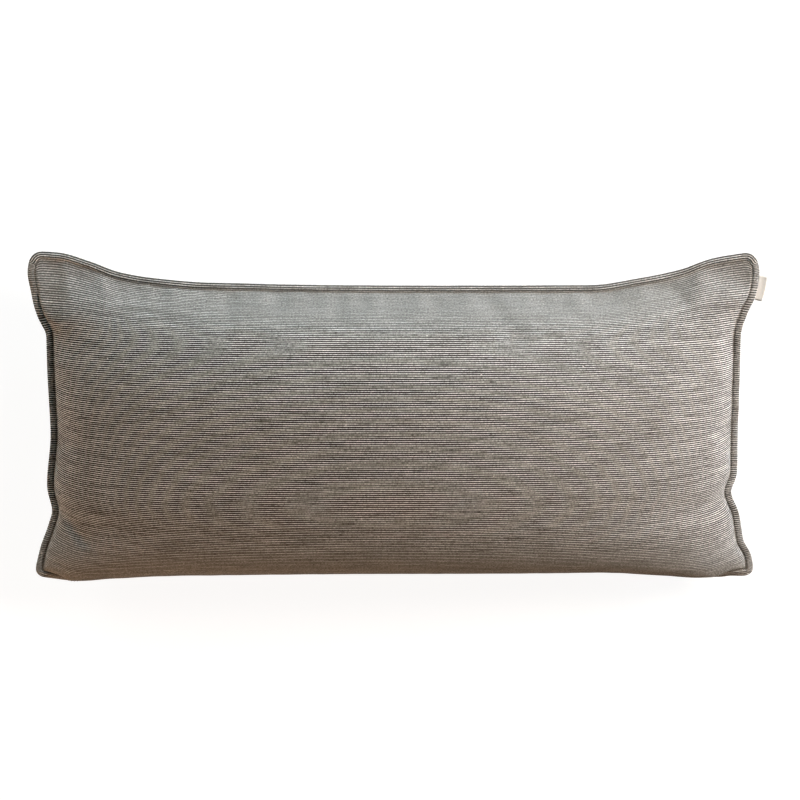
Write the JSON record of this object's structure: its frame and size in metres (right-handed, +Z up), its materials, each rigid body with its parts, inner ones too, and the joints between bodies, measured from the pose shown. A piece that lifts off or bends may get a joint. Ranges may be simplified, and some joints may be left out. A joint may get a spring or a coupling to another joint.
{
  "type": "lumbar cushion",
  "caption": "Long filled lumbar cushion in finely striped woven cloth, with drawn-in edges, a narrow topstitched flange and a small blank side label.",
  "frame": {"origin": "middle of the footprint, on the surface that the cushion lies on", "axes": "+X along the cushion's length towards the label's side, +Y towards the long edge that the filling draws in most, +Z up out of the face"},
  "size_m": [0.8784, 0.4046, 0.126],
  "materials": {
    "striped_cloth": "matte woven cotton and linen with fine dark and light stripes along the length",
    "label_tape": "smooth woven tape, blank"
  },
  "bodies": {
    "root": {"cushion": "striped_cloth", "label": "label_tape"}
  },
  "joints": []
}
